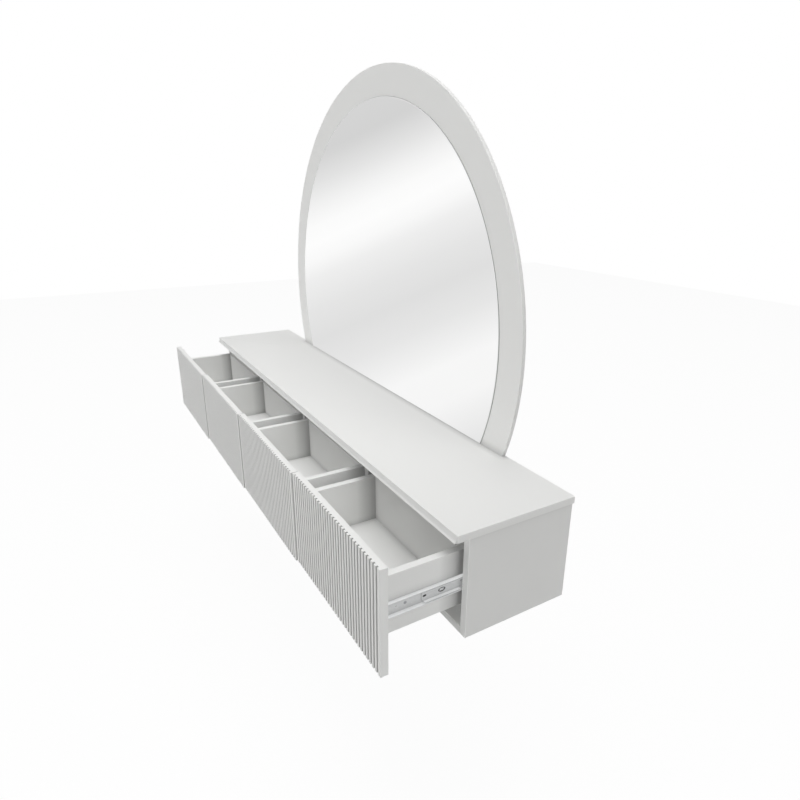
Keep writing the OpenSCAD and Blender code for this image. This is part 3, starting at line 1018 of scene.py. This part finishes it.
@dataclass
class Mirror(SubAssembly):
    """Round backing board with the glass in its rebate, and the plates that it hangs on."""

    glass_radius: float = 554 * MM
    glass_gap: float = 0.8 * MM
    arris: float = 1.1 * MM
    sides: int = 288
    board_easing: float = 1.6 * MM
    rim_margin: float = 0.3 * MM
    foot_margin: float = 1.0 * MM
    # Width of the band of painted shade at the rim.
    rim_shade_band: float = 0.2 * MM
    hanger_x: float = 250 * MM
    hanger_rise: float = 560 * MM
    plate_low: Triple = (-30.1 * MM, -2.0 * MM, -12.6 * MM)
    plate_high: Triple = (30.1 * MM, 0.1 * MM, 21.6 * MM)
    pocket_depth: float = 6.0 * MM
    # Rise above the hanger's eye, and radius, of each round of the pocket behind a keyhole.
    pocket_radii: tuple[tuple[float, float], ...] = (
        (0.0, 8.0 * MM),
        (5.0 * MM, 6.5 * MM),
        (10.0 * MM, 5.0 * MM),
    )
    pocket_sides: int = 48
    screw_x: float = 22 * MM
    # Holes: radius and depth.
    screw_hole: tuple[float, float] = (1.55 * MM, 7.1 * MM)
    dowel_xs: tuple[float, ...] = (-450 * MM, -150 * MM, 150 * MM, 450 * MM)
    dowel_y: float = -4 * MM
    dowel_hole: tuple[float, float] = (2.55 * MM, 20.5 * MM)
    hole_sides: int = 24

    @classmethod
    def centre(cls) -> Vector:
        """Centre of the mirror on its back face."""
        return Vector((0.0, 0.0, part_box("mirror_glass")[1].z - cls.glass_radius))

    def make_board(self) -> None:
        """Makes the backing board: a disc is rebated for the glass, cut off at its foot and eased."""
        low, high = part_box("mirror_board")
        centre = self.centre()
        rim = high.z - centre.z
        middle = Vector((0.0, (low.y + high.y) / 2, centre.z))
        piece = Bench.disc("mirror_board_turned", middle, rim, high.y - low.y, self.sides)
        with Bench.edit(piece) as mesh:
            Bench.pick(piece, [face for face in mesh.faces if face.normal.y < -FACING])
            bpy.ops.mesh.inset(thickness=rim - self.glass_radius - self.glass_gap)
            Bench.pull(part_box("mirror_glass")[1].y - low.y)
        Bench.saw_off(piece, low.z)

        def reach(point: Vector) -> float:
            """Distance of a point from the mirror's axis."""
            return math.hypot(point.x, point.z - centre.z)

        def on_arris(start: Vector, end: Vector) -> bool:
            """True for an edge of the two arrises round the rim."""
            level = abs(start.y - end.y) < TOUCH and max(start.z, end.z) > low.z + self.foot_margin
            return level and min(reach(start), reach(end)) > rim - self.rim_margin

        def thin_paint(point: Vector) -> float:
            """1 on the rim, which gets painted shade, and 0 elsewhere."""
            return float(reach(point) > rim - self.rim_shade_band)

        Bench.ease(piece, on_arris, self.board_easing, 3)
        for cutter in self.make_cutters(low.z):
            Bench.cut(piece, cutter)
        Bench.mark_painted_shade(piece, thin_paint)
        self.fit(piece, "mirror_board", "carcass", Coat.ROUND)

    def make_cutters(self, foot: float) -> Iterator[bpy.types.Object]:
        """Makes the solids that leave room in the board for plates, screws, wall screws and dowels.

        Args:
            foot: Height of the board's foot.

        Yields:
            One solid after the other.
        """
        for side in (-1, 1):
            eye = Vector((side * self.hanger_x, 0.0, foot + self.hanger_rise))
            yield Bench.block("cutter", eye + Vector(self.plate_low), eye + Vector(self.plate_high))
            for rise, radius in self.pocket_radii:
                place = eye + Vector((0.0, 0.0, rise))
                yield Bench.disc("cutter", place, radius, 2 * self.pocket_depth, self.pocket_sides)
            radius, depth = self.screw_hole
            for turn in (-1, 1):
                place = eye + Vector((turn * self.screw_x, 0.0, 0.0))
                yield Bench.disc("cutter", place, radius, 2 * depth, self.hole_sides)
        radius, depth = self.dowel_hole
        for across in self.dowel_xs:
            place = Vector((across, self.dowel_y, foot))
            yield Bench.disc("cutter", place, radius, 2 * depth, self.hole_sides, upright=True)

    def make_glass(self) -> None:
        """Makes the glass: a disc cut off at its foot, with a polished arris round its face."""
        low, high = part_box("mirror_glass")
        middle = Vector((0.0, (low.y + high.y) / 2, self.centre().z))
        piece = Bench.disc("mirror_glass_polished", middle, self.glass_radius, high.y - low.y, self.sides)
        Bench.saw_off(piece, low.z)

        def in_front(point: Vector) -> bool:
            """True for a point on the front face."""
            return point.y < low.y + TOUCH

        Bench.ease(piece, both_ends(in_front), self.arris, 1)
        self.fit(piece, "mirror_glass", "carcass", Coat.GLASS)

    def build(self) -> None:
        """Makes and dresses the mirror."""
        self.make_board()
        self.make_glass()
        self.dress("mirror_dowels", Coat.BEECH)
        self.dress("hanger_plates", Coat.RAIL)
        self.dress("hanger_screws", Coat.SCREW)


@dataclass
class Drawer(SubAssembly):
    """One drawer: its fluted front, its box and the runners that carry it."""

    number: int
    # Where the painted shadow of the top board begins on the drawer walls, counted forward from the side
    # panels' front edge.
    shadow_start: float = 43.0 * MM
    rib_count: int = 34
    flute_width: float = 4.6 * MM
    flute_depth: float = 4.0 * MM
    flute_slack: float = 0.05 * MM
    front_easing: float = 0.45 * MM
    end_easing: float = 0.25 * MM
    box_easing: float = 0.9 * MM
    # The middle rails' oval hole and slot: how far back their centres lie, and their half sizes.
    oval_back: float = 6.0 * MM
    oval_half: tuple[float, float] = (5.6 * MM, 4.2 * MM)
    slot_back: float = 43.0 * MM
    slot_half: tuple[float, float] = (8.6 * MM, 5.6 * MM)
    slot_rim: tuple[float, float] = (7.6 * MM, 4.6 * MM)
    slot_hollow: float = 0.42
    # How far back and down the camera's line of sight through a hole meets what is behind it.
    sight_back: float = 1.8 * MM
    sight_drop: float = 1.2 * MM

    def body(self) -> str:
        """Name of the drawer's body."""
        return f"drawer_{self.number}"

    def named(self, part: str) -> str:
        """Name of one of the drawer's CAD nodes."""
        return f"{part}_{self.number}"

    def carve_pattern(self) -> bpy.types.Object:
        """Makes the pattern of the fronts: a plate cut along its flutes, with its ribs pulled out and eased.

        Returns:
            The bare front, in the place of this drawer's.
        """
        low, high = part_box(self.named("front"))
        plate = Vector((low.x, low.y + self.flute_depth, low.z))
        piece = Bench.block("front_pattern", plate, high)
        pitch = (high.x - low.x) / self.rib_count
        flutes = [low.x + step * pitch for step in range(1, self.rib_count)]
        half = self.flute_width / 2

        def off_flute(x: float) -> float:
            """Distance of a place along the front from the middle of the nearest flute."""
            return min(abs(x - middle) for middle in flutes)

        def on_end(start: Vector, end: Vector) -> bool:
            """True for an edge of the left or right end."""
            return any(max(abs(start.x - side), abs(end.x - side)) < TOUCH for side in (low.x, high.x))

        def between(start: Vector, end: Vector) -> bool:
            """True for every other edge."""
            return not on_end(start, end)

        # Painted shade in the flutes, darker the deeper a point lies.
        def thin_paint(point: Vector) -> float:
            """How deep a point lies in a flute, from 0 to 1, which is its share of painted shade."""
            inside = off_flute(point.x) < half + self.flute_slack
            return min(1.0, (point.y - low.y) / self.flute_depth) if inside else 0.0

        with Bench.edit(piece):
            for place in (middle + side * half for middle in flutes for side in (-1, 1)):
                bpy.ops.mesh.select_all(action="SELECT")
                bpy.ops.mesh.bisect(plane_co=(place, 0.0, 0.0), plane_no=(1.0, 0.0, 0.0))
        with Bench.edit(piece) as mesh:
            plain = [face for face in mesh.faces if face.normal.y < -FACING]
            Bench.pick(piece, [face for face in plain if off_flute(face.calc_center_median().x) > half])
            Bench.pull(-self.flute_depth)
        with Bench.edit(piece, everything=True):
            bpy.ops.mesh.dissolve_limited(angle_limit=Bench.flat_angle)
        Bench.ease(piece, between, self.front_easing, 2)
        Bench.ease(piece, on_end, self.end_easing, 1)
        Bench.mark_painted_shade(piece, thin_paint)
        return piece

    def make_front(self, pattern: bpy.types.Object) -> None:
        """Makes the front as a copy of the pattern, which lies in the first drawer's place.

        Args:
            pattern: The bare front.
        """
        node = self.named("front")
        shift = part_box(node)[0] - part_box(f"front_{DRAWERS[0]}")[0]
        self.fit(Bench.twin(pattern, f"{node}_fluted", shift), node, self.body(), Coat.FRONT)

    def rail_start(self) -> tuple[float, float]:
        """Y of the middle rails' front end, and Z of their middle."""
        low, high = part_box(self.named("middle_rails"))
        return low.y, (low.z + high.z) / 2

    def shade_round_slot(self) -> tuple[ShadeMark, ...]:
        """A ring of painted shade on the middle rails, round their slot, where the gap round the tongue lies
        in shade.
        """
        front, level = self.rail_start()
        return (ShadeMark(front + self.slot_back, level, *self.slot_rim, hollow=self.slot_hollow),)

    def shade_behind_holes(self) -> tuple[ShadeMark, ...]:
        """Painted shade on what is seen through the middle rails' oval hole and their slot.

        Returns:
            The two marks of painted shade.
        """
        front, level = self.rail_start()
        front, level = front + self.sight_back, level - self.sight_drop
        oval = ShadeMark(front + self.oval_back, level, *self.oval_half)
        return oval, ShadeMark(front + self.slot_back, level, *self.slot_half)

    def shade_paint(self, part: str, coat: Coat, tones: Tones, shade_marks: tuple[ShadeMark, ...]) -> None:
        """Gives a steel part of the runners its finish, with painted shade on it.

        Args:
            part: The part.
            coat: Its finish.
            tones: Its bright and its dull tone.
            shade_marks: The painted shade.
        """
        node = self.named(part)
        self.dress(node, coat, PlatedSteel(f"shade_painted_{node}", *tones, shade_marks=shade_marks).build())

    def build(self, pattern: bpy.types.Object) -> None:
        """Makes and dresses the drawer and its runners.

        Args:
            pattern: The bare front that the drawer's front is copied from.
        """
        self.make_front(pattern)
        for part, coat in (("box_left", Coat.WALL), ("box_right", Coat.WALL), ("box_back", Coat.BACK)):
            self.board(self.named(part), self.body(), coat, self.box_easing)
        self.dress(self.named("box_bottom"), Coat.FLOOR)
        self.dress(self.named("drawer_dowels"), Coat.BEECH)
        self.shade_paint("drawer_rails", Coat.RAIL, ZINC_TONES, self.shade_behind_holes())
        self.shade_paint("middle_rails", Coat.RAIL, ZINC_TONES, self.shade_round_slot())
        self.dress(self.named("drawer_screws"), Coat.SCREW)
        self.dress(self.named("outer_cages"), Coat.CAGE)
        self.shade_paint("inner_cages", Coat.CAGE, CAGE_TONES, self.shade_behind_holes())


@dataclass
class DrawerRow(SubAssembly):
    """The four drawers, whose fronts are copies of one pattern."""

    def build(self) -> None:
        """Carves the pattern, makes each drawer with a copy of it, and takes the pattern away."""
        drawers = [Drawer(self.finishes, number) for number in DRAWERS]
        pattern = drawers[0].carve_pattern()
        for drawer in drawers:
            drawer.build(pattern)
        bpy.data.objects.remove(pattern)


@dataclass(frozen=True)
class Lamp:
    """One large soft lamp: where it hangs from the origin, how large it is and what it gives."""

    name: str
    direction: Triple
    share: float
    size: float = 4.5
    distance: float = 7.0

    def hang(self) -> None:
        """Adds the lamp, turned to the origin and unseen in the mirror."""
        data = bpy.data.lights.new(self.name, "AREA")
        data.shape = "SQUARE"
        data.size = self.size
        data.energy = self.share * math.pi ** 2 * self.distance ** 2
        lamp = bpy.data.objects.new(self.name, data)
        bpy.context.scene.collection.objects.link(lamp)
        aim = Vector(self.direction).normalized()
        lamp.location = aim * self.distance
        lamp.rotation_euler = aim.to_track_quat("Z", "Y").to_euler()
        lamp.visible_glossy = False


@dataclass
class Studio:
    """Pale floor, soft lamps, a white surround and the camera at the photograph's angle."""

    floor_z: float = -0.66
    floor_size: float = 14.0
    floor_cells: int = 8
    floor_tone: Colour = (0.62, 0.62, 0.615)
    floor_show: float = 0.045
    grain_scale: float = 3.0
    ambient: float = 0.13
    # Direction in which the surround's bands follow each other.
    tilt: Triple = (-0.367, 0.267, 0.891)
    # Place along the tilt, from -1 to 1, and grey of each band that the mirror shows.
    bands: tuple[tuple[float, float], ...] = (
        (-0.80, 0.62), (-0.55, 0.54), (-0.36, 0.62), (-0.166, 0.955), (-0.11, 0.965), (-0.071, 0.885),
        (-0.039, 0.82), (0.014, 0.765), (0.061, 0.81), (0.108, 0.89), (0.132, 0.98), (0.156, 1.02),
        (0.18, 1.0), (0.207, 0.92), (0.235, 0.80), (0.271, 0.67), (0.42, 0.74), (0.66, 1.0),
    )
    lamps: tuple[Lamp, ...] = (
        Lamp("lamp_above", (0.0, 0.0, 1.0), 0.46),
        Lamp("lamp_above_front", (0.1, -0.4, 0.9), 0.20),
        Lamp("lamp_right", (0.9, 0.1, 0.4), 0.24),
        Lamp("lamp_right_front", (0.45, -0.85, 0.2), 0.06),
        Lamp("lamp_low_front", (-0.3, -0.8, -0.05), 0.48),
        Lamp("lamp_right_low", (0.97, -0.1, 0.0), 0.10),
    )
    camera_place: Triple = (1.50913, -0.80544, 0.68453)
    azimuth: float = 58.383
    elevation: float = 19.900
    roll: float = 0.794
    focal_pixels: float = 594.56
    axis_x: float = 415.55
    axis_y: float = 399.40
    picture: float = 800.0
    film: float = 36.0
    sight: tuple[float, float] = (0.01, 60.0)

    def make_floor(self) -> None:
        """Makes the floor, which the camera sees nearly white and which keeps a faint shadow."""
        Bench.clear()
        bpy.ops.mesh.primitive_grid_add(
            x_subdivisions=self.floor_cells,
            y_subdivisions=self.floor_cells,
            size=self.floor_size,
            location=(0.0, 0.0, self.floor_z),
        )
        floor = Bench.settle(bpy.context.object, "studio_floor")
        floor.visible_glossy = False
        material = bpy.data.materials.new("studio_floor_paint")
        material.use_nodes = True
        graph = Graph(material.node_tree)
        seen = graph.node("ShaderNodeLightPath", output="Is Camera Ray")
        grain = graph.noise(graph.place(), self.grain_scale, 3.0)
        tone = graph.blend(grain, darker(self.floor_tone, 0.99), self.floor_tone)
        paint = graph.node("ShaderNodeBsdfDiffuse", inputs={"Color": graph.blend(seen, tone, WHITE)})
        glow = graph.node("ShaderNodeEmission", inputs={"Color": (*WHITE, 1.0), "Strength": 1.0})
        shown = seen * (1.0 - self.floor_show)
        mixed = graph.node("ShaderNodeMixShader", inputs={0: shown, 1: paint, 2: glow})
        graph.close("ShaderNodeOutputMaterial", mixed)
        floor.data.materials.append(material)

    def make_world(self) -> None:
        """Makes the surround: even soft light, white to the camera, soft light bands in reflections."""
        world = bpy.data.worlds.new("studio_surround")
        bpy.context.scene.world = world
        world.use_nodes = True
        graph = Graph(world.node_tree)
        direction = graph.node("ShaderNodeTexCoord", output="Generated")
        dot = {"operation": "DOT_PRODUCT"}
        lift = graph.node("ShaderNodeVectorMath", dot, {0: direction, 1: self.tilt}, output="Value")
        stops = [((place + 1.0) / 2.0, grey) for place, grey in self.bands]
        sheen = graph.node("ShaderNodeValToRGB", {"stops": stops}, {0: lift * 0.5 + 0.5})
        seen = graph.node("ShaderNodeLightPath", output="Is Camera Ray")
        mirrored = seen.beside("Is Glossy Ray").highest(seen.beside("Is Transmission Ray"))
        soft = (self.ambient, self.ambient, self.ambient)
        colour = graph.blend(seen, graph.blend(mirrored, soft, sheen), WHITE)
        background = graph.node("ShaderNodeBackground", inputs={"Color": colour, "Strength": 1.0})
        graph.close("ShaderNodeOutputWorld", background)

    def make_camera(self) -> None:
        """Sets the camera that the photograph's lines and the round mirror give."""
        data = bpy.data.cameras.new("studio_camera")
        data.sensor_width = self.film
        data.lens = self.focal_pixels / self.picture * self.film
        data.shift_x = (self.picture / 2 - self.axis_x) / self.picture
        data.shift_y = (self.axis_y - self.picture / 2) / self.picture
        data.clip_start, data.clip_end = self.sight
        camera = bpy.data.objects.new("studio_camera", data)
        bpy.context.scene.collection.objects.link(camera)
        turn, dip, lean = (math.radians(value) for value in (self.azimuth, self.elevation, self.roll))
        ahead = Vector((-math.sin(turn) * math.cos(dip), math.cos(turn) * math.cos(dip), -math.sin(dip)))
        level = ahead.cross(Vector((0.0, 0.0, 1.0))).normalized()
        rise = level.cross(ahead)
        right = level * math.cos(lean) + rise * math.sin(lean)
        up = rise * math.cos(lean) - level * math.sin(lean)
        rotation = Matrix((right, up, -ahead)).transposed()
        camera.matrix_world = Matrix.Translation(Vector(self.camera_place)) @ rotation.to_4x4()
        bpy.context.scene.camera = camera

    def build(self) -> None:
        """Sets up the whole studio."""
        self.make_floor()
        self.make_world()
        for lamp in self.lamps:
            lamp.hang()
        self.make_camera()
        bpy.context.scene.view_settings.view_transform = "Standard"


def make_finishes() -> dict[Coat, bpy.types.Material]:
    """Builds every finish of the dressing table.

    Returns:
        The materials by their coat.
    """
    panel_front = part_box("side_left")[0].y
    highlight_y = panel_front + Carcass.edge_band
    shadow_y = panel_front - Drawer.shadow_start
    finishes = (
        (Coat.CABINET, Lacquer("satin_white_lacquer", (0.848, 0.850, 0.836))),
        # Painted shade and a painted highlight: the side panels are the cabinet's lacquer made darker, with
        # a lighter front edge.
        (Coat.SIDE, Lacquer("side_white_lacquer", (0.808, 0.810, 0.797), highlight_y=highlight_y)),
        # Painted shade: the partitions are the cabinet's lacquer, darkened as if they lay in shade.
        (Coat.PARTITION, Lacquer("partition_shaded_lacquer", (0.50, 0.502, 0.495))),
        # Painted light: the fronts are the cabinet's lacquer made lighter, with painted shade in their
        # flutes and creases.
        (
            Coat.FRONT,
            Lacquer("front_white_lacquer", (0.905, 0.907, 0.893), painted_shade_tone=0.86, crease_shade_reach=6 * MM),
        ),
        # Painted light: the mirror board is the cabinet's lacquer made lighter, with painted shade on its
        # rim.
        (Coat.ROUND, Lacquer("mirror_board_lacquer", (0.900, 0.902, 0.888), painted_shade_tone=0.91)),
        (Coat.FLOOR, FacedBoard("white_faced_floor_board", (0.875, 0.877, 0.864))),
        (
            Coat.WALL,
            FacedBoard("white_faced_wall_board", (0.885, 0.887, 0.874), shadow_from=shadow_y),
        ),
        # Painted shade: the drawer backs are the walls' board, darkened as if in the top board's shade.
        (Coat.BACK, FacedBoard("shaded_white_faced_back_board", (0.795, 0.797, 0.784))),
        (
            Coat.GLASS,
            SilveredGlass("silvered_mirror_glass", tuple(Mirror.centre()), Mirror.glass_radius),
        ),
        (Coat.RAIL, PlatedSteel("zinc_plated_rail", *ZINC_TONES)),
        # Painted shade: the cabinet rails are the runners' zinc, darkened because they lie in shade inside
        # the cabinet.
        (
            Coat.DULL_RAIL,
            PlatedSteel("shaded_cabinet_rail", (0.52, 0.53, 0.53), (0.38, 0.39, 0.395), gloss=0.36),
        ),
        (Coat.CAGE, PlatedSteel("pale_steel_cage", *CAGE_TONES, gloss=0.34)),
        (
            Coat.SCREW,
            PlatedSteel(
                "screw_head_steel", (0.62, 0.63, 0.65), (0.42, 0.43, 0.45), gloss=0.28, metal=0.9
            ),
        ),
        (Coat.BEECH, TurnedBeech("beech_dowel", (0.72, 0.56, 0.38), (0.50, 0.34, 0.20))),
    )
    return {coat: finish.build() for coat, finish in finishes}


def main() -> None:
    """Builds the studio, the carcass, the mirror and the drawers."""
    logging.basicConfig(level=logging.INFO, format="%(name)s: %(message)s")
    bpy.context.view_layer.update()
    finishes = make_finishes()
    Studio().build()
    Carcass(finishes).build()
    Mirror(finishes).build()
    DrawerRow(finishes).build()


if __name__ == "__main__":
    main()
